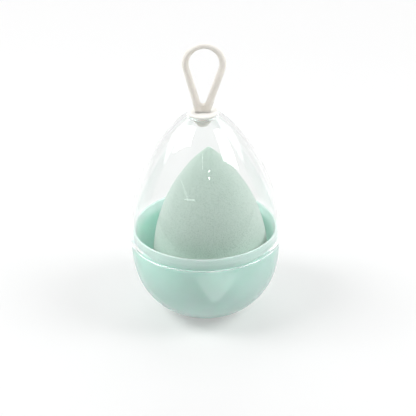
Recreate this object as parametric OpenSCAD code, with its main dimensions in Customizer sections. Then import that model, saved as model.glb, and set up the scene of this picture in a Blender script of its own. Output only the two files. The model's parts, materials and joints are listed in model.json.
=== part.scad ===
// Egg-shaped travel case with a teardrop make-up sponge inside.
// A clear domed lid fits over the collar of an opaque cup, and a soft one-piece
// hanging loop is plugged through the flat top of the lid.
// Millimetres. The origin is the centre of the foot on the table, +Z is up, and the
// hanging loop lies in the XZ plane.

/* [Case] */
// Diameter of the lid's wall where it meets the cup
rim_d = 58; // [50:0.5:68]
// Height of the joint between cup and lid
joint_h = 30.9; // [26:0.1:36]
// Height of the lid's flat top
top_h = 81.6; // [70:0.1:95]
// How far the widest level of the egg lies below the joint
belly_drop = 2.6; // [1.5:0.1:4]

/* [Lid] */
// Wall of the clear lid
lid_wall = 1.2; // [0.9:0.05:1.6]
// Thickness of the lid's flat top
lid_top_t = 1.2; // [1:0.05:1.8]
// Radius of the round shoulder under the flat top
shoulder_r = 27; // [18:0.5:32]
// Slope of the shoulder where it meets the flat top, as an angle round its arc
shoulder_angle = 56; // [48:1:64]
// How far the flat top runs past the flange of the hanger
seat_margin = 0.2; // [0.1:0.05:1]
// Height of the thickened lip along the lid's lower edge
lip_h = 2.5; // [1.5:0.1:4]
// How far the lip stands out from the wall
lip_out = 0.25; // [0.15:0.01:0.5]

/* [Cup] */
// Wall of the cup
cup_wall = 1.8; // [1.4:0.05:2.2]
// Thickness of the cup's floor
floor_t = 2; // [1.5:0.1:3]
// How far the cup's wall lies inside the lid's wall at the joint
cup_step = 0.75; // [0.5:0.05:1]
// Diameter of the flat foot
foot_d = 20; // [16:0.5:26]
// Width of the ring that the cup stands on
foot_ring_w = 2; // [1.2:0.1:3]
// Depth of the recess inside that ring
foot_recess = 0.5; // [0.3:0.05:0.8]
// Height of the collar that goes up inside the lid
collar_h = 4.5; // [3:0.1:6]
// Clearance between the top of the collar and the lid
collar_gap = 0.2; // [0.12:0.01:0.3]

/* [Sponge] */
// Clearance all round the widest part of the sponge, if it stood in the middle
sponge_side_gap = 4.25; // [3.8:0.05:6]
// How far the sponge stands off the middle of the cup
sponge_shift = 1.85; // [0:0.05:2.5]
// Free height between the tip of the sponge and the plug
sponge_headroom = 8.9; // [5:0.1:14]
// Radius of the tip
sponge_tip_r = 1.2; // [0.8:0.05:2.5]
// Gap between the sponge and the cup's floor
sponge_rest_gap = 0.3; // [0.2:0.05:0.4]

/* [Hanging loop] */
// Thickness of the round strand in the bend
strand_d = 2.6; // [2:0.05:3]
// Thickness of the two legs
leg_d = 2.72; // [2.1:0.02:3.2]
// Radius of the bend at the top, along the middle of the strand
bend_r = 6.8; // [5.5:0.1:8.5]
// Height of the middle of the bend above the flange
bend_h = 19; // [16:0.1:23]
// Distance between the two legs at the flange, from middle to middle
leg_pair_w = 2.66; // [2.3:0.02:3.6]
// Height of the web between the legs above the flange
web_h = 3.1; // [2.5:0.05:4]
// Thickness of that web
web_t = 1.9; // [1.4:0.05:2.3]
// Radius of the hollow in the top of the web
crotch_r = 1.6; // [1.5:0.05:2]
// Lean of the soft loop to one side, in degrees
loop_lean = 2.5; // [0:0.5:5]

/* [Flange and plug] */
// Diameter of the flange on top of the lid
flange_d = 11; // [10:0.1:14]
// Thickness of the flange
flange_t = 0.9; // [0.8:0.05:1.6]
// Rounding of the flange's upper edge
flange_round = 0.35; // [0.2:0.05:0.5]
// Diameter of the neck in the lid's hole
neck_d = 6; // [5:0.1:7.2]
// Clearance between the neck and the hole, on the radius
neck_gap = 0.1; // [0.06:0.01:0.1]
// Diameter of the widest rib of the plug
plug_top_d = 8.9; // [7.8:0.1:10]
// Diameter of the lowest rib of the plug
plug_tip_d = 4.9; // [4:0.1:5.8]
// Height of the ribbed plug
plug_h = 3.6; // [2.8:0.1:4.5]
// Depth of the grooves between the ribs
groove_depth = 0.45; // [0.3:0.05:0.6]
// Number of ribs on the plug
rib_count = 4; // [3:1:6]

/* [Hidden] */

$fn = 240;
strand_fn = 48;
// Overrun of every cut past the face that it opens
over = 1;

// Fullness of the cup: its side arc as a share of the single arc from belly to foot
cup_side_share = 1.4;
// Height where the cup's two arcs meet, as a share of the height of its widest level
cup_meet_share = 0.64;
// Height of the sponge's widest level, as a share of the height of the cup's widest level
sponge_belly_share = 0.725;
// Radius of the sponge's lower flank, as a share of its height below the widest level
sponge_flank_share = 0.88;
// Height of one rib as a share of the spacing of the ribs
rib_share = 0.6;

rim_r = rim_d / 2;
foot_r = foot_d / 2;
belly_h = joint_h - belly_drop;

cup_belly = [rim_r - cup_step, belly_h];
cup_side_r = cup_side_share * single_arc_r(cup_belly, [foot_r, 0]);
cup_side_c = cup_belly - [cup_side_r, 0];
cup_meet_h = cup_meet_share * belly_h;
cup_meet = [arc_x(cup_side_c, cup_side_r, cup_meet_h), cup_meet_h];
cup_end_r = end_arc_r(cup_side_c, cup_meet, [foot_r, 0]);
cup_end_c = cup_meet - cup_end_r * unit(cup_meet - cup_side_c);

flange_r = flange_d / 2;
seat_r = flange_r + seat_margin;
lid_end_c = [seat_r, top_h] - shoulder_r * dir(shoulder_angle);
lid_side_r = side_arc_r([rim_r, belly_h], lid_end_c, shoulder_r);
lid_side_c = [rim_r - lid_side_r, belly_h];

collar_top = joint_h + collar_h;
collar_in = cup_belly[0] - cup_wall;
collar_out = arc_x(lid_side_c, lid_side_r - lid_wall, collar_top) - collar_gap;
collar_t = collar_out - collar_in;

neck_r = neck_d / 2;
plug_z = top_h - lid_top_t;

sponge_r = collar_in - sponge_side_gap;
sponge_z = floor_t + sponge_rest_gap;
sponge_belly = [sponge_r, sponge_belly_share * belly_h];
sponge_flank_r = sponge_flank_share * (sponge_belly[1] - sponge_z);
sponge_tip_z = plug_z - plug_h - sponge_headroom;
tip_c = [0, sponge_tip_z - sponge_tip_r];
sponge_side_r = side_arc_r(sponge_belly, tip_c, sponge_tip_r);
sponge_side_c = sponge_belly - [sponge_side_r, 0];
flank_c = sponge_belly - [sponge_flank_r, 0];
base_r = base_arc_r(flank_c, sponge_flank_r, sponge_z);
base_c = [0, sponge_z + base_r];

leg_foot = leg_pair_w / 2;
// The legs run tangent to the bend down to their feet
leg_angle = asin(bend_r / norm([leg_foot, bend_h])) - atan(leg_foot / bend_h);
leg_l = (bend_h - bend_r * sin(leg_angle)) / cos(leg_angle);
web_top = web_h + crotch_r * (1 - sin(leg_angle));

rib_pitch = plug_h / rib_count;

// Unit vector at angle a
function dir(a) = [cos(a), sin(a)];

// Radius of the arc that starts upright at p and ends at q
function single_arc_r(p, q) =
    let (w = p[0] - q[0], h = p[1] - q[1]) (w * w + h * h) / (2 * w);

// Vector w at length one
function unit(w) = w / norm(w);

// Radius of the arc that leaves the arc round c at its point p and ends at q
function end_arc_r(c, p, q) = (p - q) * (p - q) / (2 * (p - q) * unit(p - c));

// Radius of the arc that starts upright at p and runs tangent into the smaller arc c, r
function side_arc_r(p, c, r) =
    let (w = p[0] - c[0], h = c[1] - p[1]) (w * w + h * h - r * r) / (2 * (w - r));

// Radius of the arc on the axis with its lowest point at z, tangent to the smaller arc c, r
function base_arc_r(c, r, z) =
    let (h = c[1] - z) (c[0] * c[0] + h * h - r * r) / (2 * (h - r));

// Distance from the axis of the arc c, r at height z
function arc_x(c, r, z) = c[0] + sqrt(r * r - pow(z - c[1], 2));

// Height where the arc c, r runs into the arc c2, r2 that it is tangent to
function tangent_z(c, r, c2, r2) =
    let (big = r > r2, w = big ? c2 - c : c - c2)
    (big ? c[1] : c2[1]) + max(r, r2) * w[1] / norm(w);

// The part of a disc that lies beside the axis, from height z0 up to z1. Where two discs
// are tangent, the smaller one runs on past their level, inside the larger one.
module disc_slab(c, r, z0, z1) {
    intersection() {
        translate(c) circle(r);
        translate([0, z0]) square([c[0] + r + over, z1 - z0]);
    }
}

// Half section of the solid cup, all its arcs drawn in by inset
module cup_section(inset, bottom, top) {
    level = tangent_z(cup_side_c, cup_side_r - inset, cup_end_c, cup_end_r - inset);
    disc_slab(cup_side_c, cup_side_r - inset, level, top);
    disc_slab(cup_end_c, cup_end_r - inset, bottom, level + over);
}

// Half section of the solid lid, all its arcs drawn in by inset
module lid_section(inset, bottom, top) {
    level = tangent_z(lid_side_c, lid_side_r - inset, lid_end_c, shoulder_r - inset);
    disc_slab(lid_side_c, lid_side_r - inset, bottom, level);
    disc_slab(lid_end_c, shoulder_r - inset, level - over, top);
}

// Collar with a fully rounded top edge
module collar_section() {
    round_r = collar_t / 2;
    translate([collar_in, belly_h]) square([collar_t, collar_top - round_r - belly_h]);
    translate([collar_in + round_r, collar_top - round_r]) circle(round_r);
}

module base_cup() {
    color("#a5d0c0") rotate_extrude() {
        difference() {
            cup_section(0, 0, joint_h);
            cup_section(cup_wall, floor_t, joint_h);
            translate([0, belly_h]) square([collar_in, joint_h - belly_h + over]);
            translate([0, -over]) square([foot_r - foot_ring_w, foot_recess + over]);
        }
        collar_section();
    }
}

// Lip along the lower edge of the lid, fading into the wall at its top
module lip_section() {
    wall_x = arc_x(lid_side_c, lid_side_r, joint_h + lip_h);
    polygon([
        [rim_r - lid_wall / 2, joint_h],
        [rim_r + lip_out / 2, joint_h],
        [rim_r + lip_out, joint_h + lip_out],
        [rim_r + lip_out, joint_h + lip_h / 2],
        [wall_x, joint_h + lip_h],
        [wall_x - lid_wall / 2, joint_h + lip_h],
    ]);
}

module lid() {
    color("#e8f0ef", 0.35) rotate_extrude() {
        difference() {
            lid_section(0, joint_h, top_h);
            lid_section(lid_wall, joint_h - over, plug_z);
            translate([0, plug_z - over]) square([neck_r + neck_gap, lid_top_t + 2 * over]);
        }
        lip_section();
    }
}

// Flange with a rounded upper edge
module flange() {
    rotate_extrude() {
        square([flange_r, flange_t - flange_round]);
        square([flange_r - flange_round, flange_t]);
        translate([flange_r - flange_round, flange_t - flange_round])
            circle(flange_round, $fn = strand_fn);
    }
}

// One barbed rib, its upper face at height 0, on the core of the plug
module rib(r) {
    translate([0, 0, -rib_pitch * rib_share])
        cylinder(rib_pitch * rib_share, r1 = r - groove_depth / 2, r2 = r);
    translate([0, 0, -rib_pitch]) cylinder(rib_pitch, r = r - groove_depth);
}

// Ribbed plug that narrows downwards, its upper face at height 0
module plug() {
    narrowing = (plug_top_d - plug_tip_d) / 2 / (rib_count - 1);
    for (i = [0 : rib_count - 1])
        translate([0, 0, -i * rib_pitch]) rib(plug_top_d / 2 - i * narrowing);
}

// One leg of the loop, on the side that side names, from inside the flange to the bend
module leg(side) {
    translate([side * leg_foot, 0, 0]) rotate([0, side * leg_angle, 0])
        translate([0, 0, -flange_t / 2]) cylinder(flange_t / 2 + leg_l, d = leg_d, $fn = strand_fn);
}

// Teardrop loop of one round strand, with a web where its legs meet, standing on height 0
module loop() {
    translate([0, 0, bend_h]) rotate([90, 0, 0]) rotate([0, 0, -leg_angle])
        rotate_extrude(angle = 180 + 2 * leg_angle) translate([bend_r, 0])
            circle(d = strand_d, $fn = strand_fn);
    leg(1);
    leg(-1);
    translate([0, web_t / 2, 0]) rotate([90, 0, 0]) linear_extrude(web_t) difference() {
        polygon([
            [-leg_foot, -flange_t / 2],
            [leg_foot, -flange_t / 2],
            [leg_foot + web_top * tan(leg_angle), web_top],
            [-leg_foot - web_top * tan(leg_angle), web_top],
        ]);
        translate([0, web_h + crotch_r]) circle(crotch_r, $fn = strand_fn);
    }
}

module hanger() {
    color("#dcd9cf") {
        translate([0, 0, top_h]) flange();
        translate([0, 0, top_h + flange_t]) rotate([0, loop_lean, 0]) loop();
        translate([0, 0, plug_z]) cylinder(lid_top_t + flange_t / 2, r = neck_r);
        translate([0, 0, plug_z]) plug();
    }
}

module sponge() {
    tip_level = tangent_z(sponge_side_c, sponge_side_r, tip_c, sponge_tip_r);
    base_level = tangent_z(base_c, base_r, flank_c, sponge_flank_r);
    color("#cddfd5") translate([sponge_shift, 0, 0]) rotate_extrude() {
        disc_slab(base_c, base_r, sponge_z, base_level);
        disc_slab(flank_c, sponge_flank_r, base_level - over, sponge_belly[1] + over);
        disc_slab(sponge_side_c, sponge_side_r, sponge_belly[1], tip_level);
        disc_slab(tip_c, sponge_tip_r, tip_level - over, sponge_tip_z);
    }
}

base_cup();
lid();
hanger();
sponge();
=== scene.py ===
"""Looks for a teardrop make-up sponge in its egg-shaped case with a soft hanging loop.

Every length in a dataclass field is in millimetres, every angle in degrees. The meshes are
worked out in millimetres and written in metres. Heights count from the surface that the case
stands on, +Z is up along the axis of the case, and -Y is the side that the camera sees.
"""

import json
import logging
import math
from dataclasses import dataclass, field
from enum import Enum

import bpy
import numpy as np
from mathutils import Matrix, Vector

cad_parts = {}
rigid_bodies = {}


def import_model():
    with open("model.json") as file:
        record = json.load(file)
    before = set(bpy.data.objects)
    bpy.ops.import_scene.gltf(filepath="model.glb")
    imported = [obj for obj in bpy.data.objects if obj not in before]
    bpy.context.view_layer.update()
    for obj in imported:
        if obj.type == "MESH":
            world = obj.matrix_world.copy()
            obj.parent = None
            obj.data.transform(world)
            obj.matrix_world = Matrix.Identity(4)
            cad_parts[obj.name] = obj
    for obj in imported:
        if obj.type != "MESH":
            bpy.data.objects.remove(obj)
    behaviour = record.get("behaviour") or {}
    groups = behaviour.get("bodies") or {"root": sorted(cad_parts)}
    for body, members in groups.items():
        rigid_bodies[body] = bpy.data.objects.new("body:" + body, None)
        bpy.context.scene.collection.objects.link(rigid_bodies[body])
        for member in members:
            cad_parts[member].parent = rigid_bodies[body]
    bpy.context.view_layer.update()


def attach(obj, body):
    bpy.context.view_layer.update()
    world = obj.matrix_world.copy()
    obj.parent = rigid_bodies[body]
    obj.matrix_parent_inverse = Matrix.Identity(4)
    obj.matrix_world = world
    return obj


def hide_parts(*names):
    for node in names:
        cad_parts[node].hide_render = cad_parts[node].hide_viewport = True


MM = 0.001
TINY = 1e-9
WHITE = (1.0, 1.0, 1.0)
log = logging.getLogger("sponge_case")

Colour = tuple[float, float, float]
Pair = tuple[float, float]
Place = tuple[float, float, float]
Socket = bpy.types.NodeSocket


# Plane outlines


def unit(v: np.ndarray) -> np.ndarray:
    """Returns v at length one."""
    return v / np.linalg.norm(v)


def run_along(points: np.ndarray, extra: float = 0.0) -> np.ndarray:
    """Length of a line from its start to each of its points.

    Args:
        points: The line, one point a row.
        extra: A length that every gap between two points gets on top.

    Returns:
        One length for each point, zero for the first.
    """
    gaps = np.linalg.norm(np.diff(points, axis=0), axis=1) + extra
    return np.concatenate([[0.0], np.cumsum(gaps)])


def picked(points: np.ndarray, run: np.ndarray, wanted: np.ndarray) -> np.ndarray:
    """Returns the points of a line at the wanted values of its run."""
    return np.column_stack([np.interp(wanted, run, points[:, k]) for k in range(points.shape[1])])


def arc(centre: np.ndarray, radius: float, start: float, end: float, step: float = 0.05) -> np.ndarray:
    """Points on a circle at an even angle apart.

    Args:
        centre: Middle of the circle, as radius and height.
        radius: Radius of the circle.
        start: Angle of the first point, in radians from the outward direction.
        end: Angle of the last point.
        step: About how far apart the points are, if that gives more than the fewest.

    Returns:
        An array of points, one a row.
    """
    fewest = 8
    count = max(fewest, int(abs(end - start) * radius / step))
    turn = np.linspace(start, end, count)
    return np.column_stack([centre[0] + radius * np.cos(turn), centre[1] + radius * np.sin(turn)])


def refine(points: np.ndarray, step: float) -> np.ndarray:
    """Places points evenly along a line, about a step apart.

    Args:
        points: The line's corners and points, one a row.
        step: Distance between the new points.

    Returns:
        The evenly spaced points, the two ends among them.
    """
    gaps = np.linalg.norm(np.diff(points, axis=0), axis=1)
    points = points[np.concatenate([[True], gaps > TINY])]
    run = run_along(points)
    fewest = 3
    return picked(points, run, np.linspace(0.0, run[-1], max(fewest, int(run[-1] / step)) + 1))


def soften(points: np.ndarray, spread: float, closed: bool, step: float = 0.02) -> np.ndarray:
    """Rounds the corners of an outline, as a mould does.

    Each new point is the mean of the outline around it, weighted by a bell curve along its
    length, so a corner gets a small radius and long curves stay where they are. The bell is cut
    off at four times its spread.

    Args:
        points: The outline, one point a row.
        spread: Width of the bell curve.
        closed: True if the outline runs back into its start. An open one is mirrored over its
            ends, which then keep their place on the axis.
        step: Distance between the points.

    Returns:
        The rounded outline, evenly spaced.
    """
    line = refine(np.vstack([points, points[:1]]) if closed else points, step)
    cut_off = 4 * spread
    reach = int(cut_off / step) + 1
    bell = np.exp(-0.5 * (np.arange(-reach, reach + 1) * step / spread) ** 2)
    bell /= bell.sum()
    if closed:
        line = line[:-1]
        before, after = line[-reach:], line[:reach]
    else:
        before = 2 * line[0] - line[reach:0:-1]
        after = 2 * line[-1] - line[-2 : -reach - 2 : -1]
    padded = np.vstack([before, line, after])
    return np.column_stack([np.convolve(padded[:, k], bell, mode="valid") for k in range(2)])


def thin_out(points: np.ndarray, count: int, closed: bool, pull: float = 1.0) -> np.ndarray:
    """Keeps a number of points, close together where the outline bends.

    The share of points that a stretch gets is its length times the sum of an even share and the
    pull times the square root of its curvature, which is a mean over a window of points.

    Args:
        points: An evenly spaced outline.
        count: How many points to keep.
        closed: True if the outline runs back into its start.
        pull: How strongly bends draw the points.

    Returns:
        The kept points. A closed outline doesn't repeat its first one.
    """
    window = 15
    even_share = 0.35
    line = np.vstack([points, points[:1]]) if closed else points
    step = np.diff(line, axis=0)
    length = np.linalg.norm(step, axis=1)
    heading = np.unwrap(np.arctan2(step[:, 1], step[:, 0]))
    bend = np.abs(np.gradient(heading)) / np.maximum(length, TINY)
    bend = np.convolve(np.pad(bend, window // 2, mode="edge"), np.ones(window) / window, mode="valid")
    run = np.concatenate([[0.0], np.cumsum(length * (even_share + pull * np.sqrt(bend)))])
    kept = picked(line, run, np.linspace(0.0, run[-1], count + 1 if closed else count))
    return kept[:-1] if closed else kept


# Meshes


@dataclass
class Surface:
    """Points in space with the faces between them, in millimetres."""

    points: np.ndarray
    quads: np.ndarray
    triangles: np.ndarray = field(default_factory=lambda: np.zeros((0, 3), np.int64))

    def joined(self, other: "Surface") -> "Surface":
        """Returns this surface and another one as one."""
        base = len(self.points)
        return Surface(
            np.vstack([self.points, other.points]),
            np.vstack([self.quads, other.quads + base]),
            np.vstack([self.triangles, other.triangles + base]),
        )

    def volume(self) -> float:
        """Enclosed volume: the sum over all triangles of a sixth of their corners' triple product.

        Returns:
            The volume, above zero where the faces point outwards.
        """
        fans = np.vstack([self.quads[:, [0, 1, 2]], self.quads[:, [0, 2, 3]], self.triangles])
        a, b, c = (self.points[fans[:, k]] for k in range(3))
        return float(np.einsum("ij,ij->i", a, np.cross(b, c)).sum() / 6)

    def outward(self) -> "Surface":
        """Turns the faces outwards.

        Returns:
            The surface itself if they point there already, or else one with its faces reversed.
        """
        if self.volume() >= 0:
            return self
        return Surface(self.points, self.quads[:, ::-1].copy(), self.triangles[:, ::-1].copy())

    def build(self, name: str, material: bpy.types.Material) -> bpy.types.Object:
        """Writes the surface into a smooth mesh object at the origin and dresses it.

        Args:
            name: Name of the object and of its mesh.
            material: The finish of the whole surface.

        Returns:
            The new object, linked to the scene.
        """
        mesh = bpy.data.meshes.new(name)
        mesh.materials.append(material)
        corners = np.concatenate([self.quads.ravel(), self.triangles.ravel()]).astype(np.int32)
        sizes = np.concatenate([np.full(len(self.quads), 4), np.full(len(self.triangles), 3)])
        starts = np.concatenate([[0], np.cumsum(sizes)[:-1]]).astype(np.int32)
        mesh.vertices.add(len(self.points))
        mesh.vertices.foreach_set("co", (self.points * MM).astype(np.float32).ravel())
        mesh.loops.add(len(corners))
        mesh.loops.foreach_set("vertex_index", corners)
        mesh.polygons.add(len(sizes))
        mesh.polygons.foreach_set("loop_start", starts)
        mesh.polygons.foreach_set("use_smooth", np.ones(len(sizes), bool))
        mesh.update(calc_edges=True)
        mesh.validate()
        made = bpy.data.objects.new(name, mesh)
        bpy.context.scene.collection.objects.link(made)
        return made


def grid_faces(rows: int, columns: int, wrap_rows: bool, wrap_columns: bool = True) -> np.ndarray:
    """Quads between the points of a grid.

    Args:
        rows: Points along the first direction.
        columns: Points along the second direction.
        wrap_rows: True if the last row runs back into the first.
        wrap_columns: True if the last column runs back into the first.

    Returns:
        Four point numbers a row.
    """
    i = np.arange(rows if wrap_rows else rows - 1)
    j = np.arange(columns if wrap_columns else columns - 1)
    i, j = np.meshgrid(i, j, indexing="ij")
    below, above = i * columns, ((i + 1) % rows) * columns
    after = (j + 1) % columns
    return np.stack([below + j, below + after, above + after, above + j], axis=-1).reshape(-1, 4)


def spun(rows: np.ndarray, turns: int) -> np.ndarray:
    """Carries points or directions of a section round the axis.

    A row of radius r and height z goes to (r cos a, r sin a, z) for every angle a.

    Args:
        rows: Radius and height, one point a row.
        turns: Number of steps round the axis.

    Returns:
        Places in space, all the turns of the first row first.
    """
    angle = np.arange(turns) * (2 * math.pi / turns)
    radius, height = rows[:, :1], np.broadcast_to(rows[:, 1:], (len(rows), turns))
    return np.stack([radius * np.cos(angle), radius * np.sin(angle), height], axis=-1).reshape(-1, 3)


def turned(outline: np.ndarray, turns: int, closed: bool) -> Surface:
    """Turns an outline round the axis.

    An open outline starts and ends on the axis, where its ends become single points with fans
    of triangles.

    Args:
        outline: Radius and height, one point a row.
        turns: Number of steps round the axis.
        closed: True for a ring, False for an outline that starts and ends on the axis.

    Returns:
        The closed surface.
    """
    rows = outline if closed else outline[1:-1]
    grid = spun(rows, turns)
    quads = grid_faces(len(rows), turns, wrap_rows=closed)
    if closed:
        return Surface(grid, quads).outward()
    j = np.arange(turns)
    after = (j + 1) % turns
    end = len(grid) - turns
    first_fan = np.column_stack([np.full(turns, len(grid)), after, j])
    last_fan = np.column_stack([np.full(turns, len(grid) + 1), end + j, end + after])
    tips = np.array([[0.0, 0.0, outline[0, 1]], [0.0, 0.0, outline[-1, 1]]])
    return Surface(np.vstack([grid, tips]), quads, np.vstack([first_fan, last_fan])).outward()


class Grain:
    """Smooth random values in space, the same on every run, from a table of a set length."""

    length: int = 256

    def __init__(self, seed: int) -> None:
        """Draws the table of values.

        Args:
            seed: Start of the random draws.
        """
        draw = np.random.default_rng(seed)
        self.order = draw.permutation(self.length)
        self.values = draw.random(self.length) * 2 - 1

    def at(self, points: np.ndarray, cell: float) -> np.ndarray:
        """Values between -1 and 1 that change smoothly from one cell to the next.

        Space is cut into cubes of one size, every corner gets a random value, and a point takes
        the mean of its cube's eight corners, weighted by the smooth step of its place in it.

        Args:
            points: Places in millimetres, one a row.
            cell: Size of the cubes.

        Returns:
            One value for each point.
        """
        place = points / cell
        corner = np.floor(place).astype(np.int64)
        part = place - corner
        part = part * part * (3 - 2 * part)
        near_far = (1 - part, part)
        total = np.zeros(len(points))
        for dx, dy, dz in np.ndindex(2, 2, 2):
            i, j, k = ((corner + (dx, dy, dz)) % self.length).T
            row = self.order[(self.order[i] + j) % self.length]
            value = self.values[self.order[(row + k) % self.length]]
            total += value * (near_far[dx][:, 0] * near_far[dy][:, 1] * near_far[dz][:, 2])
        return total


# Finishes


class Sum(Enum):
    """What a Math node works out of its two values."""

    PRODUCT = "MULTIPLY"
    DIFFERENCE = "SUBTRACT"
    LARGER = "MAXIMUM"


class NodeSheet:
    """The nodes of a material or of the world, with short calls to add and join them.

    The colour places and result are a Mix node's sockets for its share, its two colours and what
    comes out. The noise core is the range that most values of smooth noise lie in.
    """

    colour_places: tuple[int, int, int] = (0, 6, 7)
    colour_result: int = 2
    noise_core: Pair = (0.3, 0.7)

    def __init__(self, owner: bpy.types.Material | bpy.types.World, output: str) -> None:
        """Clears the owner's tree and gives it an output node.

        Args:
            owner: The material or the world that the nodes belong to.
            output: Kind of the output node, as add() takes it.
        """
        owner.use_nodes = True
        self.owner = owner
        self.tree = owner.node_tree
        self.tree.nodes.clear()
        self.output = self.add(output)

    @classmethod
    def of_material(cls, name: str) -> "NodeSheet":
        """Returns the empty sheet of a new material."""
        return cls(bpy.data.materials.new(name), "OutputMaterial")

    @classmethod
    def of_world(cls, name: str) -> "NodeSheet":
        """Returns the empty sheet of a new world."""
        return cls(bpy.data.worlds.new(name), "OutputWorld")

    def add(self, kind: str, settings: dict | None = None, **sockets: object) -> bpy.types.Node:
        """Adds a node.

        Args:
            kind: Blender's name for the node, without its ShaderNode prefix.
            settings: Attributes of the node.
            **sockets: Input values or sockets to link, by input name with _ for a space.

        Returns:
            The new node.
        """
        node = self.tree.nodes.new("ShaderNode" + kind)
        for key, value in (settings or {}).items():
            setattr(node, key, value)
        for key, value in sockets.items():
            self.feed(node.inputs[key.replace("_", " ")], value)
        return node

    def feed(self, socket: Socket, value: object) -> None:
        """Links a socket to another one, or sets its value.

        Args:
            socket: The input to feed.
            value: A socket, or a value of the input's kind.
        """
        if isinstance(value, Socket):
            self.tree.links.new(value, socket)
        else:
            socket.default_value = value

    def place(self) -> Socket:
        """Returns the socket that gives a point's place on the piece, in metres."""
        return self.add("TexCoord").outputs["Object"]

    def noise(self, cell: float, detail: float = 2.0, rough: float = 0.5) -> Socket:
        """Smooth noise in the space of the piece.

        Args:
            cell: About how wide a spot is, in millimetres.
            detail: How many finer layers are added.
            rough: How strong each finer layer is.

        Returns:
            A value from 0 to 1.
        """
        scale = 1.0 / (cell * MM)
        node = self.add("TexNoise", Vector=self.place(), Scale=scale, Detail=detail, Roughness=rough)
        return node.outputs["Fac"]

    def span(self, value: Socket, low: float, high: float, to_low: float, to_high: float) -> Socket:
        """Carries a value from one range over to another, and holds it there at the ends.

        Args:
            value: The value.
            low: Where its range starts.
            high: Where its range ends.
            to_low: What the start becomes.
            to_high: What the end becomes.

        Returns:
            The value in the new range.
        """
        node = self.add("MapRange", Value=value)
        for key, number in (("From Min", low), ("From Max", high), ("To Min", to_low), ("To Max", to_high)):
            node.inputs[key].default_value = number
        return node.outputs["Result"]

    def uneven(self, cell: float, levels: Pair) -> Socket:
        """Returns a value that wanders between two levels over spots of a cell's size."""
        return self.span(self.noise(cell), *self.noise_core, *levels)

    def between(self, share: Socket, first: Colour | Socket, second: Colour) -> Socket:
        """Runs from one colour to another.

        Args:
            share: How far on the way, from 0 to 1.
            first: The colour at 0.
            second: The colour at 1.

        Returns:
            The mixed colour.
        """
        node = self.add("Mix", {"data_type": "RGBA"})
        for place, value in zip(self.colour_places, (share, first, second)):
            self.feed(node.inputs[place], value if isinstance(value, Socket) else (*value, 1.0))
        return node.outputs[self.colour_result]

    def count(self, kind: Sum, first: Socket | float, second: Socket | float) -> Socket:
        """Works out a sum.

        Args:
            kind: Which sum it is.
            first: A number or a socket.
            second: A number or a socket.

        Returns:
            The result.
        """
        node = self.add("Math", {"operation": kind.value})
        self.feed(node.inputs[0], first)
        self.feed(node.inputs[1], second)
        return node.outputs[0]

    def blend(self, share: Socket, first: Socket, second: Socket) -> Socket:
        """Runs from one shader to another.

        Args:
            share: How far on the way, from 0 to 1.
            first: The shader at 0.
            second: The shader at 1.

        Returns:
            The mixed shader.
        """
        node = self.add("MixShader")
        for place, socket in enumerate((share, first, second)):
            self.tree.links.new(socket, node.inputs[place])
        return node.outputs[0]

    def bump(self, height: Socket, depth: float, **under: Socket) -> Socket:
        """Returns the normal of a relief of a depth in millimetres, over another if one is given."""
        return self.add("Bump", Height=height, Distance=depth * MM, **under).outputs["Normal"]

    def finish(self, shader: Socket) -> bpy.types.Material | bpy.types.World:
        """Joins the shader to the output and returns the material or the world."""
        self.tree.links.new(shader, self.output.inputs["Surface"])
        return self.owner


def linear(red: int, green: int, blue: int) -> Colour:
    """Returns a screen colour, from 0 to 255, as plain light, by the standard curve of screens."""
    shares = (c / 255 for c in (red, green, blue))
    return tuple(s / 12.92 if s <= 0.04045 else ((s + 0.055) / 1.055) ** 2.4 for s in shares)


@dataclass(frozen=True)
class GlossyMint:
    """Moulded mint plastic of the cup: smooth, with a faint flow pattern and a soft depth."""

    light: Colour = linear(192, 228, 215)
    deep: Colour = linear(184, 222, 207)
    flow_cell: float = 14.0
    flow_detail: float = 3.0
    gloss_cell: float = 3.0
    roughness: Pair = (0.06, 0.1)
    peel_cell: float = 1.6
    peel_depth: float = 0.004
    depth_of_light: float = 7.0
    depth_shares: Colour = (0.7, 1.0, 0.85)

    def material(self) -> bpy.types.Material:
        """Builds the finish.

        Returns:
            The material.
        """
        sheet = NodeSheet.of_material("mint_plastic")
        flow = sheet.noise(self.flow_cell, self.flow_detail)
        shader = sheet.add(
            "BsdfPrincipled",
            Base_Color=sheet.between(flow, self.light, self.deep),
            Roughness=sheet.uneven(self.gloss_cell, self.roughness),
            Normal=sheet.bump(sheet.noise(self.peel_cell), self.peel_depth),
            IOR=1.5,
            Subsurface_Weight=1.0,
            Subsurface_Radius=self.depth_shares,
            Subsurface_Scale=self.depth_of_light * MM,
        )
        return sheet.finish(shader.outputs[0])


@dataclass(frozen=True)
class ClearShell:
    """Clear moulded plastic of the lid. Lamps and scattered light pass straight through it."""

    tint: Colour = (0.985, 0.988, 0.987)
    veil: Colour = (0.955, 0.965, 0.963)
    gloss_cell: float = 4.0
    roughness: Pair = (0.0, 0.03)
    wave_cell: float = 9.0
    wave_depth: float = 0.006

    def material(self) -> bpy.types.Material:
        """Builds the finish.

        Returns:
            The material.
        """
        sheet = NodeSheet.of_material("clear_plastic")
        glass = sheet.add(
            "BsdfPrincipled",
            Base_Color=(*self.tint, 1.0),
            Roughness=sheet.uneven(self.gloss_cell, self.roughness),
            Normal=sheet.bump(sheet.noise(self.wave_cell), self.wave_depth),
            IOR=1.49,
            Transmission_Weight=1.0,
        )
        path = sheet.add("LightPath")
        open_way = sheet.add("BsdfTransparent", Color=(*self.veil, 1.0))
        shader = glass.outputs[0]
        for ray in ("Is Diffuse Ray", "Is Shadow Ray"):
            shader = sheet.blend(path.outputs[ray], shader, open_way.outputs[0])
        return sheet.finish(shader)


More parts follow.
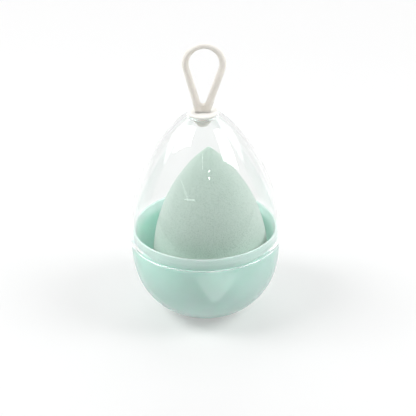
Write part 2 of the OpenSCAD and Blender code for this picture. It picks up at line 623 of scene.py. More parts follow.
@dataclass(frozen=True)
class SoftSilicone:
    """Matt off-white silicone of the hanging loop, with a fine eroded grain."""

    light: Colour = linear(237, 233, 226)
    shade: Colour = linear(232, 227, 219)
    tone_cell: float = 5.0
    tone_detail: float = 3.0
    gloss_cell: float = 1.2
    roughness: Pair = (0.5, 0.62)
    grain_cell: float = 0.22
    grain_depth: float = 0.01
    depth_of_light: float = 3.0

    def material(self) -> bpy.types.Material:
        """Builds the finish.

        Returns:
            The material.
        """
        sheet = NodeSheet.of_material("ivory_silicone")
        tone = sheet.noise(self.tone_cell, self.tone_detail)
        shader = sheet.add(
            "BsdfPrincipled",
            Base_Color=sheet.between(tone, self.light, self.shade),
            Roughness=sheet.uneven(self.gloss_cell, self.roughness),
            Normal=sheet.bump(sheet.noise(self.grain_cell), self.grain_depth),
            IOR=1.42,
            Subsurface_Weight=0.9,
            Subsurface_Radius=WHITE,
            Subsurface_Scale=self.depth_of_light * MM,
            Sheen_Weight=0.05,
        )
        return sheet.finish(shader.outputs[0])


@dataclass(frozen=True)
class FineFoam:
    """Pale mint foam with fine open pores, matt and a little furry at grazing light."""

    light: Colour = linear(211, 229, 219)
    shade: Colour = linear(204, 224, 212)
    # painted shade: the darker colour that the pores take, standing in for the shade in their hollows
    deep: Colour = linear(180, 204, 191)
    pore_cell: float = 0.42
    pore_depth: float = 0.09
    pore_middle: float = 0.1
    pore_rim: float = 0.42
    mottle_cell: float = 0.6
    mottle_detail: float = 3.0
    mottle_roughness: float = 0.6
    mottle_depth: float = 0.06
    depth_of_light: float = 3.0

    def material(self) -> bpy.types.Material:
        """Builds the finish.

        A pore is the middle of a cell of the Voronoi pattern: there the relief sinks in and the colour goes
        to the deep one, which is painted shade in the pore's hollow.

        Returns:
            The material.
        """
        sheet = NodeSheet.of_material("mint_foam")
        scale = 1.0 / (self.pore_cell * MM)
        cells = sheet.add("TexVoronoi", {"feature": "SMOOTH_F1"}, Vector=sheet.place(), Scale=scale)
        pore = sheet.span(cells.outputs["Distance"], self.pore_middle, self.pore_rim, 1.0, 0.0)
        mottle = sheet.noise(self.mottle_cell, self.mottle_detail, self.mottle_roughness)
        relief = sheet.bump(pore, -self.pore_depth)
        worn = sheet.between(sheet.span(mottle, *sheet.noise_core, 0.0, 1.0), self.shade, self.light)
        shader = sheet.add(
            "BsdfPrincipled",
            # the pores go over to the deep colour, painted shade in their hollows over the real colour of
            # the foam
            Base_Color=sheet.between(pore, worn, self.deep),
            Roughness=0.95,
            Normal=sheet.bump(mottle, self.mottle_depth, Normal=relief),
            IOR=1.3,
            Subsurface_Weight=0.35,
            Subsurface_Radius=WHITE,
            Subsurface_Scale=self.depth_of_light * MM,
            Sheen_Weight=0.4,
            Sheen_Roughness=0.5,
        )
        return sheet.finish(shader.outputs[0])


@dataclass(frozen=True)
class StudioPaper:
    """White paper under and behind the case.

    What the camera sees of it is lifted towards white: a little close to the case, so that its
    shadow stays, and fully farther away. Seen through the lid, the far paper is a shade darker.

    The table ends a hand's width in front of the case. Beyond that edge the eye still gets the
    same paper, but gloss and scattered light find the dark of the room.
    """

    colour: float = 0.78
    dark: float = 0.05
    lift: float = 0.38
    lifted_from_to: Pair = (200.0, 480.0)
    through_lid: float = 0.94
    edge_y: float = -140.0
    edge_soft: float = 8.0

    def material(self) -> bpy.types.Material:
        """Builds the finish.

        Returns:
            The material.
        """
        sheet = NodeSheet.of_material("white_paper")
        path = sheet.add("LightPath").outputs
        along = sheet.add("SeparateXYZ", Vector=sheet.place()).outputs["Y"]
        away = sheet.add("VectorMath", {"operation": "LENGTH"}, Vector=sheet.place()).outputs["Value"]
        near, far = (d * MM for d in self.lifted_from_to)

        eye = sheet.count(Sum.LARGER, path["Is Camera Ray"], path["Is Transmission Ray"])
        table = sheet.span(along, (self.edge_y - self.edge_soft) * MM, self.edge_y * MM, 0.0, 1.0)
        lit = sheet.count(Sum.LARGER, eye, table)
        paper = sheet.add("BsdfDiffuse", Color=sheet.between(lit, (self.dark,) * 3, (self.colour,) * 3))

        straight = sheet.count(Sum.DIFFERENCE, 1.0, path["Is Transmission Ray"])
        level = sheet.count(Sum.LARGER, straight, sheet.span(away, near, far, 1.0, self.through_lid))
        strength = sheet.count(Sum.PRODUCT, level, lit)
        glow = sheet.add("Emission", Color=(*WHITE, 1.0), Strength=strength)

        seen = sheet.count(Sum.PRODUCT, eye, sheet.span(away, near, far, self.lift, 1.0))
        mirrored = sheet.count(Sum.PRODUCT, path["Is Glossy Ray"], self.lift)
        share = sheet.count(Sum.LARGER, seen, mirrored)
        return sheet.finish(sheet.blend(share, paper.outputs[0], glow.outputs[0]))


# The pieces


@dataclass(frozen=True)
class Round:
    """A circle in the section plane, given by radius from the axis, height and its own radius."""

    x: float
    z: float
    r: float

    def drawn_in(self, wall: float) -> "Round":
        """Returns the circle with the same middle and a radius smaller by a wall."""
        return Round(self.x, self.z, self.r - wall)

    def out_at(self, height: float) -> float:
        """Returns how far from the axis the circle's outer side passes a height."""
        return self.x + math.sqrt(self.r**2 - (height - self.z) ** 2)

    def meets(self, tight: "Round") -> float:
        """Returns the height where this circle runs tangent into a tighter one."""
        across = np.array([tight.x - self.x, tight.z - self.z])
        return self.z + self.r * across[1] / np.linalg.norm(across)

    def stretch(self, low: float, high: float) -> np.ndarray:
        """Points on the outer side of the circle.

        Args:
            low: Height where the stretch starts.
            high: Height where it ends.

        Returns:
            Radius and height, one point a row.
        """
        ends = [math.asin(max(-1.0, min(1.0, (h - self.z) / self.r))) for h in (low, high)]
        return arc(np.array([self.x, self.z]), self.r, *ends)


def upright_into(start: Pair, tight: Round) -> Round:
    """Circle that starts upright at a point and runs tangent into a tighter one.

    Its middle is level with the start, its own radius away from it, and lies the difference of
    the two radii away from the tight circle's middle.

    Args:
        start: Radius and height of the point.
        tight: The tighter circle.

    Returns:
        The circle.
    """
    w, h = start[0] - tight.x, tight.z - start[1]
    r = (w * w + h * h - tight.r**2) / (2 * (w - tight.r))
    return Round(start[0] - r, start[1], r)


@dataclass(frozen=True)
class Egg:
    """Driving sizes of the egg that the pieces share, and the circles that they give.

    Rim, seat and foot are radii: at the widest level, at the lid's flat top and at the cup's
    underside. Joint, top and cup floor are heights. The cup's side lies a step inside the rim.
    """

    rim: float = 29.0
    joint: float = 30.9
    belly_drop: float = 2.6
    top: float = 81.6
    seat: float = 5.7
    shoulder: float = 27.0
    shoulder_slope: float = 56.0
    cup_step: float = 0.75
    foot: float = 10.0
    cup_side_share: float = 1.4
    cup_meet_share: float = 0.64
    lid_wall: float = 1.2
    lid_top_wall: float = 1.2
    cup_floor: float = 2.0

    @property
    def belly(self) -> float:
        """Height of the widest level."""
        return self.joint - self.belly_drop

    def lid_end(self) -> Round:
        """Shoulder of the lid, which meets the seat of the flat top at the shoulder's slope.

        Returns:
            The circle.
        """
        slope = math.radians(self.shoulder_slope)
        x = self.seat - self.shoulder * math.cos(slope)
        return Round(x, self.top - self.shoulder * math.sin(slope), self.shoulder)

    def lid_side(self) -> Round:
        """Returns the lid's long side."""
        return upright_into((self.rim, self.belly), self.lid_end())

    def cup_side(self) -> Round:
        """Side of the cup, upright at the belly.

        Its radius is that of the one circle that would run from the belly to the foot, times a
        share above 1, which makes it flatter.

        Returns:
            The circle.
        """
        wide = self.rim - self.cup_step
        w, h = wide - self.foot, self.belly
        r = self.cup_side_share * (w * w + h * h) / (2 * w)
        return Round(wide - r, self.belly, r)

    def cup_end(self) -> Round:
        """Lower end of the cup, which leaves the side tangent and ends at the foot.

        Its middle is on the line from the side's middle through the place where they meet, as
        far from that place as from the foot.

        Returns:
            The circle.
        """
        side = self.cup_side()
        height = self.cup_meet_share * self.belly
        start = np.array([side.out_at(height), height])
        ahead = unit(start - np.array([side.x, side.z]))
        way = start - np.array([self.foot, 0.0])
        r = float(way @ way / (2 * way @ ahead))
        return Round(start[0] - r * ahead[0], start[1] - r * ahead[1], r)


@dataclass
class Cup:
    """Lower half of the case with the collar that goes up inside the lid."""

    egg: Egg = Egg()
    wall: float = 1.8
    foot_ring_in: float = 8.0
    foot_recess: float = 0.5
    collar_height: float = 4.5
    collar_gap: float = 0.2
    edge: float = 0.09
    turns: int = 288
    rows: int = 330

    def outline(self) -> np.ndarray:
        """Section of the cup from the middle of its underside to the middle of its floor.

        Returns:
            Radius and height, one point a row.
        """
        egg, side, end = self.egg, self.egg.cup_side(), self.egg.cup_end()
        inside, inside_end = side.drawn_in(self.wall), end.drawn_in(self.wall)
        top = egg.joint + self.collar_height
        collar_out = egg.lid_side().drawn_in(egg.lid_wall).out_at(top) - self.collar_gap
        round_r = (collar_out - inside.out_at(egg.belly)) / 2
        crest = np.array([collar_out - round_r, top - round_r])
        sharp = np.vstack(
            [
                [[0.0, self.foot_recess], [self.foot_ring_in, self.foot_recess], [self.foot_ring_in, 0.0]],
                end.stretch(0.0, side.meets(end)),
                side.stretch(side.meets(end), egg.joint),
                [[collar_out, egg.joint]],
                arc(crest, round_r, 0.0, math.pi),
                inside.stretch(egg.belly, inside.meets(inside_end)),
                inside_end.stretch(inside.meets(inside_end), egg.cup_floor),
                [[0.0, egg.cup_floor]],
            ]
        )
        return soften(sharp, self.edge, closed=False)

    def build(self) -> bpy.types.Object:
        """Builds the cup, dresses it and returns it."""
        line = thin_out(self.outline(), self.rows, closed=False)
        return turned(line, self.turns, closed=False).build("cup_shell", GlossyMint().material())


@dataclass
class Lid:
    """Clear domed lid with a flat top, a hole for the hanger and a lip along its lower edge."""

    egg: Egg = Egg()
    hole: float = 3.1
    lip_height: float = 2.5
    lip_out: float = 0.25
    lift: float = 0.03
    edge: float = 0.09
    turns: int = 320
    rows: int = 290

    def outline(self) -> np.ndarray:
        """Section of the lid, once round: flat top, outside, lip, inside, underside of the top.

        Returns:
            Radius and height, one point a row.
        """
        egg, side, end = self.egg, self.egg.lid_side(), self.egg.lid_end()
        inside, inside_end = side.drawn_in(egg.lid_wall), end.drawn_in(egg.lid_wall)
        low, under, lip = egg.joint + self.lift, egg.top - egg.lid_top_wall, egg.rim + self.lip_out
        sharp = np.vstack(
            [
                [[self.hole, egg.top]],
                end.stretch(egg.top, side.meets(end)),
                side.stretch(side.meets(end), egg.joint + self.lip_height),
                [[lip, egg.joint + self.lip_height / 2], [lip, low + self.lip_out]],
                [[lip - self.lip_out / 2, low]],
                inside.stretch(low, inside.meets(inside_end)),
                inside_end.stretch(inside.meets(inside_end), under),
                [[self.hole, under]],
            ]
        )
        return soften(sharp, self.edge, closed=True)

    def build(self) -> bpy.types.Object:
        """Builds the lid, dresses it and returns it."""
        line = thin_out(self.outline(), self.rows, closed=True)
        return turned(line, self.turns, closed=True).build("lid_dome", ClearShell().material())


@dataclass
class Hanger:
    """Soft hanging loop: a round strand in a teardrop, a web, a flange, a neck and a ribbed plug.

    Strand, crown and leg are half the strand's thickness where the bend starts, at the top of
    the bend and down the legs. A field that ends in points counts points along a stretch.
    """

    egg: Egg = Egg()
    strand: float = 1.3
    crown: float = 1.15
    leg: float = 1.36
    leg_ease: float = 3.0
    bend: float = 6.8
    bend_height: float = 19.0
    leg_foot: float = 1.33
    web_height: float = 3.1
    web: float = 0.95
    web_round: float = 0.8
    crotch: float = 1.2
    crotch_fullness: float = 0.6
    crotch_overlap: float = 0.35
    lean: float = 2.5
    root: float = 0.3
    root_limit: float = 0.999
    root_inner_share: float = 0.6
    sunk: float = 0.6
    foot_round: float = 0.12
    blend_power: float = 8.0
    flange: float = 5.5
    flange_height: float = 0.9
    flange_round: float = 0.35
    neck: float = 3.0
    plug_top: float = 4.45
    plug_tip: float = 2.45
    plug_height: float = 3.6
    ribs: int = 4
    groove: float = 0.45
    rib_share: float = 0.6
    seat: float = 0.02
    edge: float = 0.06
    fine_step: float = 0.02
    bend_points: int = 181
    leg_points: int = 90
    web_points: int = 71
    gap_extra: float = 0.03
    around: int = 420
    across: int = 44
    turns: int = 160
    rows: int = 190

    def leg_angle(self) -> float:
        """Slope of the legs from upright, at which they run tangent into the bend.

        At the foot it is the angle between the tangent and the line to the bend's middle, less
        that line's own slope.

        Returns:
            The angle in radians.
        """
        reach = math.hypot(self.leg_foot, self.bend_height)
        return math.asin(self.bend / reach) - math.atan(self.leg_foot / self.bend_height)

    def leg_frame(self) -> tuple[np.ndarray, np.ndarray, np.ndarray]:
        """Frame of the leg on the side of +x.

        Returns:
            The middle of the bend, the direction square to the leg and outwards, and the one
            down along it.
        """
        slope = self.leg_angle()
        middle = np.array([0.0, self.bend_height])
        out = np.array([math.cos(slope), -math.sin(slope)])
        return middle, out, np.array([-math.sin(slope), -math.cos(slope)])

    def bend_half(self, turn: np.ndarray) -> np.ndarray:
        """Half the strand's thickness in the bend, from the strand's at its ends to the crown's.

        The difference fades in with the square of the sine of the angle round the bend.

        Args:
            turn: Angles round the bend, in radians from the level.

        Returns:
            One distance for each angle.
        """
        return self.strand - (self.strand - self.crown) * np.maximum(np.sin(turn), 0) ** 2

    def leg_half(self, run: np.ndarray) -> np.ndarray:
        """Half the strand's thickness along a leg, from the strand's to the leg's.

        The difference fades in with the square of the way down, over the ease.

        Args:
            run: Distances down the leg from the bend's end.

        Returns:
            One distance for each place.
        """
        return self.strand + (self.leg - self.strand) * np.clip(run / self.leg_ease, 0, 1) ** 2

    def edges(self) -> tuple[np.ndarray, np.ndarray]:
        """Inner and outer edge of the loop, point by point across from each other.

        The bend takes the angles from leg to leg on two circles round its middle. The legs are
        straight. Below the hollow of the web the inner edge follows the hollow, and the outer
        edge runs down the leg, through the flange and up the other leg.

        Returns:
            Two arrays of x and height over the flange, one point a row, once round the loop.
        """
        middle, out, down = self.leg_frame()
        hollow = np.array([0.0, self.web_height + self.crotch])

        slope = self.leg_angle()
        turn = np.linspace(-slope, math.pi + slope, self.bend_points)
        ray = np.column_stack([np.cos(turn), np.sin(turn)])
        outside = self.bend + self.strand
        bend_in = middle + ray * (outside - 2 * self.bend_half(turn))[:, None]
        bend_out = middle + ray * outside

        reach = float((hollow - middle) @ down) + self.crotch_overlap
        run = np.linspace(0.0, reach, self.leg_points)[1:]
        thick = self.leg_half(run)[:, None]
        spine = middle + out * self.bend + run[:, None] * down
        leg_in, leg_out = spine - out * thick, spine + out * thick

        gap = leg_in[-1] - hollow
        start = math.atan2(gap[1], gap[0])
        turn = np.linspace(start, -math.pi - start, self.web_points)[1:-1]
        fade = np.sin(np.linspace(0, math.pi, self.web_points)[1:-1]) ** self.crotch_fullness
        sweep = np.hypot(*gap) + (self.crotch - np.hypot(*gap)) * fade
        low_in = hollow + sweep[:, None] * np.column_stack([np.cos(turn), np.sin(turn)])

        leg_run = float((np.array([self.leg_foot, 0.0]) - middle) @ down)
        tip = middle + out * (self.bend + self.leg) + (leg_run + self.sunk) * down
        mirror = np.array([-1.0, 1.0])
        border = refine(np.vstack([leg_out[-1], tip, tip * mirror, leg_out[-1] * mirror]), self.fine_step)
        border = soften(border, self.foot_round, closed=False)
        low_out = border[np.linspace(0, len(border) - 1, self.web_points).astype(int)][1:-1]

        inner = np.vstack([bend_in[::-1], leg_in, low_in, (leg_in * mirror)[::-1]])
        outer = np.vstack([bend_out[::-1], leg_out, low_out, (leg_out * mirror)[::-1]])
        return inner, outer

    def half_depth(self, flat: np.ndarray) -> np.ndarray:
        """How far the loop stands out to each side of its plane at a place in that plane.

        A round strand stands out by the other side of a right triangle whose long side is the
        strand's radius and whose third side is the distance to the strand's middle line. The web
        stands out evenly, with a round edge along its hollow. The parts are joined by the root
        of the sum of their powers, both of a high degree, which blends them softly.

        Args:
            flat: x and height over the flange, one point a row.

        Returns:
            One distance for each point.
        """
        middle, out, down = self.leg_frame()
        start = middle + out * self.bend
        parts = []
        for x in (flat[:, 0], -flat[:, 0]):
            away = np.column_stack([x, flat[:, 1]]) - start
            run = away @ down
            off = away[:, 0] * down[1] - away[:, 1] * down[0]
            parts.append(np.sqrt(np.maximum(self.leg_half(run) ** 2 - off**2, 0)) * (run > -TINY))
        side = np.abs(flat[:, 0])
        above = (np.column_stack([side, flat[:, 1]]) - start) @ down <= TINY
        half = self.bend_half(np.arctan2(flat[:, 1] - middle[1], side))
        off = np.hypot(side, flat[:, 1] - middle[1]) - (self.bend + self.strand - half)
        parts.append(np.sqrt(np.maximum(half**2 - off**2, 0)) * above)
        hollow = np.hypot(flat[:, 0], flat[:, 1] - self.web_height - self.crotch) - self.crotch
        step = np.clip(hollow / self.web_round, 0, 1)
        inside = flat[:, 1] < self.web_height + self.crotch
        parts.append(self.web * np.sqrt(np.maximum(1 - (1 - step) ** 2, 0)) * inside)
        return (np.array(parts) ** self.blend_power).sum(0) ** (1 / self.blend_power)

    def loop(self) -> Surface:
        """The loop's skin.

        Round the loop goes the first parameter. The second goes across it: over the front from
        the inner to the outer edge by the cosine of an angle, and back over the rear. Close to
        the flange the skin widens in a quarter circle.

        Returns:
            The closed surface, leaning and in place over the flange.
        """
        inner, outer = self.edges()
        inner, outer = (self.even(line, np.vstack([inner, inner[:1]])) for line in (inner, outer))
        angle = np.arange(self.across) * (2 * math.pi / self.across)
        share = (0.5 - 0.5 * np.cos(angle))[None, :, None]
        flat = (inner[:, None, :] * (1 - share) + outer[:, None, :] * share).reshape(-1, 2)
        sine = np.broadcast_to(np.sin(angle), (len(inner), self.across)).ravel()
        near = np.clip(1 - flat[:, 1] / self.root, 0, self.root_limit)
        flare = self.root * (1 - np.sqrt(1 - near**2))
        width = np.maximum(np.abs(flat[:, 0]), TINY)
        outer_part = np.clip(width / self.leg_foot - self.root_inner_share, 0, 1)
        x = flat[:, 0] * (1 + flare / width * outer_part)
        y = -np.sign(sine) * np.where(np.abs(sine) < TINY, 0.0, self.half_depth(flat) + flare)
        c, s = math.cos(math.radians(self.lean)), math.sin(math.radians(self.lean))
        turn = np.array([[c, 0, s], [0, 1, 0], [-s, 0, c]])
        points = np.column_stack([x, y, flat[:, 1]]) @ turn.T
        points += (0.0, 0.0, self.egg.top + self.flange_height)
        return Surface(points, grid_faces(len(inner), self.across, wrap_rows=True)).outward()

    def even(self, line: np.ndarray, guide: np.ndarray) -> np.ndarray:
        """Places points along a loop's edge where the guide edge has them evenly apart.

        Args:
            line: The edge to place points on, as many as the guide has without its last.
            guide: The edge that sets the spacing, its first point repeated at its end.

        Returns:
            The placed points, one a row.
        """
        run = run_along(guide, self.gap_extra)
        wanted = np.linspace(0.0, run[-1], self.around + 1)[:-1]
        return picked(np.vstack([line, line[:1]]), run, wanted)

    def knob(self) -> Surface:
        """Flange, neck and ribbed plug, turned in one piece.

        Returns:
            The closed surface.
        """
        pitch = self.plug_height / self.ribs
        narrowing = (self.plug_top - self.plug_tip) / (self.ribs - 1)
        face, base = self.egg.top + self.flange_height, self.egg.top + self.seat
        start = self.egg.top - self.egg.lid_top_wall - self.seat
        corner = np.array([self.flange - self.flange_round, face - self.flange_round])
        ribs = [
            [
                [radius, start - k * pitch],
                [radius - self.groove / 2, start - (k + self.rib_share) * pitch],
                [radius - self.groove, start - (k + self.rib_share) * pitch],
                [radius - self.groove, start - (k + 1) * pitch],
            ]
            for k, radius in enumerate(self.plug_top - i * narrowing for i in range(self.ribs))
        ]
        sharp = np.vstack(
            [
                [[0.0, face]],
                arc(corner, self.flange_round, math.pi / 2, 0.0, step=self.fine_step),
                [[self.flange, base], [self.neck, base], [self.neck, start]],
                *ribs,
                [[0.0, start - self.plug_height]],
            ]
        )
        line = thin_out(soften(sharp, self.edge, closed=False), self.rows, closed=False)
        return turned(line, self.turns, closed=False)

    def build(self) -> bpy.types.Object:
        """Builds the hanger, dresses it and returns it."""
        return self.knob().joined(self.loop()).build("hanging_loop", SoftSilicone().material())


@dataclass
class FoamSponge:
    """Teardrop sponge: round base, full belly and a long side that runs up to a small tip.

    It stands a shift off the axis, towards +X. The waves and the pores are shifted in the space
    of random values, so that they don't repeat each other.
    """

    egg: Egg = Egg()
    shift: float = 1.85
    half_width: float = 22.2
    floor_gap: float = 0.3
    belly_share: float = 0.725
    flank_share: float = 0.88
    top: float = 67.9
    tip_r: float = 1.2
    step: float = 0.02
    wave_cell: float = 7.0
    wave: float = 0.08
    wave_shift: float = 100.0
    pore_cell: float = 0.8
    pore: float = 0.03
    pore_shift: float = 200.0
    shrink: float = 0.1
    seed: int = 41
    pull: float = 0.3
    turns: int = 352
    rows: int = 262

    def outline(self) -> np.ndarray:
        """Half section of the sponge from the middle of its underside up to its tip.

        The base is a circle about the axis that runs tangent into the flank's. The flank is
        upright at the belly, where the long side starts, which runs tangent into the tip's.

        Returns:
            Radius and height, one point a row.
        """
        bottom = self.egg.cup_floor + self.floor_gap
        belly = self.belly_share * self.egg.belly
        drop = belly - bottom
        flank_r = self.flank_share * drop
        flank = Round(self.half_width - flank_r, belly, flank_r)
        base_r = (flank.x**2 + drop**2 - flank_r**2) / (2 * (drop - flank_r))
        base = Round(0.0, bottom + base_r, base_r)
        tip = Round(0.0, self.top - self.tip_r, self.tip_r)
        side = upright_into((self.half_width, belly), tip)
        sharp = np.vstack(
            [
                base.stretch(bottom, base.meets(flank)),
                flank.stretch(base.meets(flank), belly),
                side.stretch(belly, side.meets(tip)),
                tip.stretch(side.meets(tip), self.top),
            ]
        )
        return refine(sharp, self.step)

    def build(self) -> bpy.types.Object:
        """Builds the sponge and dresses it.

        The skin moves in along its normal by a shrink plus slow waves and fine pores, both taken
        from smooth random values in space, so that it stays inside its solid.

        Returns:
            The piece.
        """
        line = thin_out(self.outline(), self.rows, closed=False, pull=self.pull)
        skin = turned(line, self.turns, closed=False)
        skin.points[:, 0] += self.shift
        slope = np.gradient(line, axis=0)
        facing = np.column_stack([slope[:, 1], -slope[:, 0]])
        facing /= np.linalg.norm(facing, axis=1)[:, None]
        normal = np.vstack([spun(facing[1:-1], self.turns), [[0.0, 0.0, -1.0], [0.0, 0.0, 1.0]]])
        grain = Grain(self.seed)
        waves = self.wave * grain.at(skin.points + self.wave_shift, self.wave_cell)
        pores = self.pore * grain.at(skin.points + self.pore_shift, self.pore_cell)
        skin.points -= normal * (self.shrink + waves + pores)[:, None]
        return skin.build("foam_sponge", FineFoam().material())


# The studio


class Reach(Enum):
    """Which light of a lamp reaches the case."""

    ALL = "all light"
    GLOSS = "gloss only"


def flat_lamp(
    name: str, place: Vector, axes: tuple[Vector, Vector, Vector], size: Pair, radiance: float, reach: Reach
) -> bpy.types.Object:
    """Makes a rectangular lamp.

    A lamp of an area and a radiance gives pi times their product in watts.

    Args:
        name: Name of the lamp.
        place: Its middle, in millimetres.
        axes: Directions of its width and its height, and the one that it turns its back to.
        size: Its width and height.
        radiance: How bright it looks, where 1 is white.
        reach: Whether it lights the case or only shows in its gloss.

    Returns:
        The lamp, linked to the scene.
    """
    data = bpy.data.lights.new(name, "AREA")
    data.shape, data.size, data.size_y = "RECTANGLE", size[0] * MM, size[1] * MM
    data.energy = math.pi * radiance * size[0] * size[1] * MM * MM
    lamp = bpy.data.objects.new(name, data)
    lamp.matrix_world = Matrix.Translation(place * MM) @ Matrix(axes).transposed().to_4x4()
    if reach is Reach.GLOSS:
        lamp.visible_camera = lamp.visible_diffuse = lamp.visible_transmission = False
    bpy.context.scene.collection.objects.link(lamp)
    return lamp


@dataclass(frozen=True)
class Lamp:
    """A flat lamp on a sphere round the case, facing its middle.

    Azimuth 0 is the side of the camera and grows towards +X. The offset moves the lamp in its
    own plane.
    """

    name: str
    azimuth: float
    elevation: float
    width: float
    height: float
    twist: float
    radiance: float
    offset: Pair = (0.0, 0.0)
    distance: float = 600.0
    target: Place = (0.0, 0.0, 60.0)
    reach: Reach = Reach.ALL

    def build(self) -> bpy.types.Object:
        """Builds the lamp.

        Returns:
            The lamp.
        """
        a, e, t = (math.radians(v) for v in (self.azimuth, self.elevation, self.twist))
        out = Vector((math.sin(a) * math.cos(e), -math.cos(a) * math.cos(e), math.sin(e)))
        level = Vector((0, 0, 1)).cross(out).normalized()
        upward = out.cross(level)
        x_axis = level * math.cos(t) + upward * math.sin(t)
        axes = (x_axis, out.cross(x_axis), out)
        place = Vector(self.target) + out * self.distance + level * self.offset[0] + upward * self.offset[1]
        return flat_lamp(self.name, place, axes, (self.width, self.height), self.radiance, self.reach)


@dataclass(frozen=True)
class Gleam:
    """A flat lamp on the paper in front of the case, facing up. The cup mirrors its corner.

    The heading is the way that its width runs from that corner, from +X towards +Y.
    """

    name: str = "floor_gleam"
    corner: Pair = (5.0, -33.0)
    heading: float = -29.0
    width: float = 48.0
    depth: float = 48.0
    height: float = 0.3
    radiance: float = 2.0
    reach: Reach = Reach.GLOSS

    def build(self) -> bpy.types.Object:
        """Builds the lamp.

        Returns:
            The lamp.
        """
        a = math.radians(self.heading)
        x_axis = Vector((math.cos(a), math.sin(a), 0.0))
        y_axis = Vector((math.sin(a), -math.cos(a), 0.0))
        axes = (x_axis, y_axis, Vector((0.0, 0.0, -1.0)))
        place = Vector((*self.corner, self.height)) + x_axis * self.width / 2 + y_axis * self.depth / 2
        return flat_lamp(self.name, place, axes, (self.width, self.depth), self.radiance, self.reach)


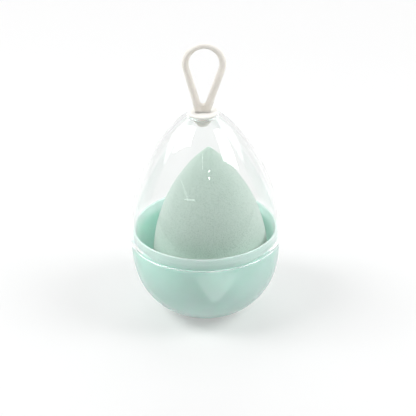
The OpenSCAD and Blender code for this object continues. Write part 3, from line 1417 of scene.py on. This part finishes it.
@dataclass
class Studio:
    """White paper sweep, lamps, the room's own light and the camera.

    The room's and the mirrored levels are strengths, where 1 is white, and mirrored_from_to
    holds the front shares between which the mirrored level goes from side to front.
    """

    camera_elevation: float = 28.694
    camera_distance: float = 630.0
    camera_target: Place = (1.184, 0.0, 41.998)
    camera_roll: float = 1.203
    lens: float = 144.17
    sensor: float = 36.0
    clip: Pair = (10.0, 20000.0)
    paper_width: float = 3000.0
    paper_columns: int = 9
    paper_front: float = -900.0
    paper_back: float = 420.0
    sweep: float = 300.0
    sweep_step: float = 20.0
    sweep_top: float = 1500.0
    room_low: float = 0.032
    room_front: float = 0.48
    mirrored_side: float = 0.76
    mirrored_front: float = 0.08
    mirrored_from_to: Pair = (0.12, 0.4)
    through_lid: float = 0.8
    lid_bounces: int = 200
    spare_bounces: int = 20
    clear_bounces: int = 24
    lamps: tuple[Gleam | Lamp, ...] = (
        Gleam(),
        Lamp("softbox_left", -78.6, 42.0, 430, 240, 35, 8.6, (-28, 36)),
        Lamp("softbox_right", 78.2, 37.3, 300, 290, -38, 8.6, (-11, 10)),
        Lamp("rim_left", -114.0, 28.0, 300, 300, 0, 2.0),
        Lamp("rim_right", 114.0, 28.0, 300, 300, 0, 2.0),
        Lamp("high_back", 180.0, 60.0, 400, 300, 0, 1.4),
        Lamp("low_back", 180.0, 27.0, 420, 200, 0, 2.2),
        Lamp("spark_upper", 12.6, 34.2, 14, 16, 0, 60.0),
        Lamp("spark_lower", 11.6, 30.0, 13, 15, 0, 55.0),
        Lamp("seam_upright", -3.6, 40.7, 5, 110, 0, 5.0),
        Lamp("seam_slant", -39.5, 20.5, 182, 9, -23.6, 3.0),
        Lamp("seam_level", -26.5, 16.0, 205, 12, 5, 2.5),
    )

    def build_camera(self) -> bpy.types.Object:
        """Builds the camera, a little turned about its own axis.

        Returns:
            The camera.
        """
        e = math.radians(self.camera_elevation)
        back = Vector((0.0, -math.cos(e), math.sin(e)))
        data = bpy.data.cameras.new("view")
        data.lens, data.sensor_width, data.sensor_fit = self.lens, self.sensor, "HORIZONTAL"
        data.clip_start, data.clip_end = (d * MM for d in self.clip)
        camera = bpy.data.objects.new("view", data)
        place = (Vector(self.camera_target) + back * self.camera_distance) * MM
        facing = (-back).to_track_quat("-Z", "Y").to_matrix().to_4x4()
        roll = Matrix.Rotation(-math.radians(self.camera_roll), 4, "Z")
        camera.matrix_world = Matrix.Translation(place) @ facing @ roll
        bpy.context.scene.collection.objects.link(camera)
        bpy.context.scene.camera = camera
        return camera

    def build_paper(self) -> bpy.types.Object:
        """Builds the paper sweep.

        Its section is a line along the floor, a quarter circle and a line up, and it is the same
        from side to side.

        Returns:
            The paper.
        """
        middle = np.array([self.paper_back, self.sweep])
        curve = arc(middle, self.sweep, -math.pi / 2, 0.0, step=self.sweep_step)
        end = [self.paper_back + self.sweep, self.sweep_top]
        section = np.vstack([[[self.paper_front, 0.0]], curve, [end]])
        across = np.linspace(-self.paper_width / 2, self.paper_width / 2, self.paper_columns)
        layers = np.broadcast_arrays(across[None, :], section[:, :1], section[:, 1:])
        faces = grid_faces(len(section), len(across), wrap_rows=False, wrap_columns=False)
        sheet = Surface(np.stack(layers, axis=-1).reshape(-1, 3), faces)
        paper = sheet.build("paper_sweep", StudioPaper().material())
        return paper

    def build_room(self) -> bpy.types.World:
        """Fills in from the camera's side, on white for the eye.

        A direction's front share is the square of how far it points to the camera's side. A matt
        surface gets the low level plus the rest up to the front level times that share. Gloss
        finds the bright sides of the room, and its dark where the front share is high.

        Returns:
            The world.
        """
        sheet = NodeSheet.of_world("room")
        way = sheet.add("TexCoord").outputs["Generated"]
        along = sheet.add("SeparateXYZ", Vector=way).outputs["Y"]
        ahead = sheet.span(along, -1.0, 0.0, 1.0, 0.0)
        front = sheet.count(Sum.PRODUCT, ahead, ahead)
        levels = (
            sheet.span(front, 0.0, 1.0, self.room_low, self.room_front),
            sheet.span(front, *self.mirrored_from_to, self.mirrored_side, self.mirrored_front),
            self.through_lid,
            1.0,
        )
        colour = (*WHITE, 1.0)
        shader, *others = (sheet.add("Background", Color=colour, Strength=v).outputs[0] for v in levels)
        path = sheet.add("LightPath").outputs
        for ray, other in zip(("Is Glossy Ray", "Is Transmission Ray", "Is Camera Ray"), others):
            shader = sheet.blend(path[ray], shader, other)
        bpy.context.scene.world = sheet.finish(shader)
        return bpy.context.scene.world

    def set_view(self) -> None:
        """Sets the plain view transform and how often light may bounce in the lid's thin edges."""
        scene = bpy.context.scene
        scene.view_settings.view_transform = "Standard"
        scene.cycles.max_bounces = self.lid_bounces + self.spare_bounces
        scene.cycles.glossy_bounces = scene.cycles.transmission_bounces = self.lid_bounces
        scene.cycles.transparent_max_bounces = self.clear_bounces

    def build(self) -> None:
        """Builds the camera, the paper, the room's light and every lamp."""
        self.set_view()
        self.build_camera()
        self.build_paper()
        self.build_room()
        for lamp in self.lamps:
            lamp.build()
            log.info("lamp %s, radiance %.1f, %s", lamp.name, lamp.radiance, lamp.reach.value)


def clear_defaults() -> None:
    """Removes what a new Blender scene holds."""
    for thing in list(bpy.data.objects):
        bpy.data.objects.remove(thing, do_unlink=True)


def corners(box: tuple[Vector, Vector]) -> list[list[float]]:
    """Returns a box's lowest and highest corner as plain lists of numbers."""
    return [[float(v) for v in corner] for corner in box]


def main() -> None:
    """Builds the studio and the four pieces in order and ties each piece to its body."""
    logging.basicConfig(level=logging.INFO, format="%(name)s: %(message)s")
    clear_defaults()
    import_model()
    Studio().build()

    cup = Cup().build()
    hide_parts("base_cup")
    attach(cup, "cup")

    sponge = FoamSponge().build()
    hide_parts("sponge")
    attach(sponge, "sponge")

    lid = Lid().build()
    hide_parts("lid")
    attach(lid, "lid")

    hanger = Hanger().build()
    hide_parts("hanger")
    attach(hanger, "hanger")

    for piece in (cup, sponge, lid, hanger):
        log.info("%s: %d points, %d faces", piece.name, len(piece.data.vertices), len(piece.data.polygons))


if __name__ == "__main__":
    main()
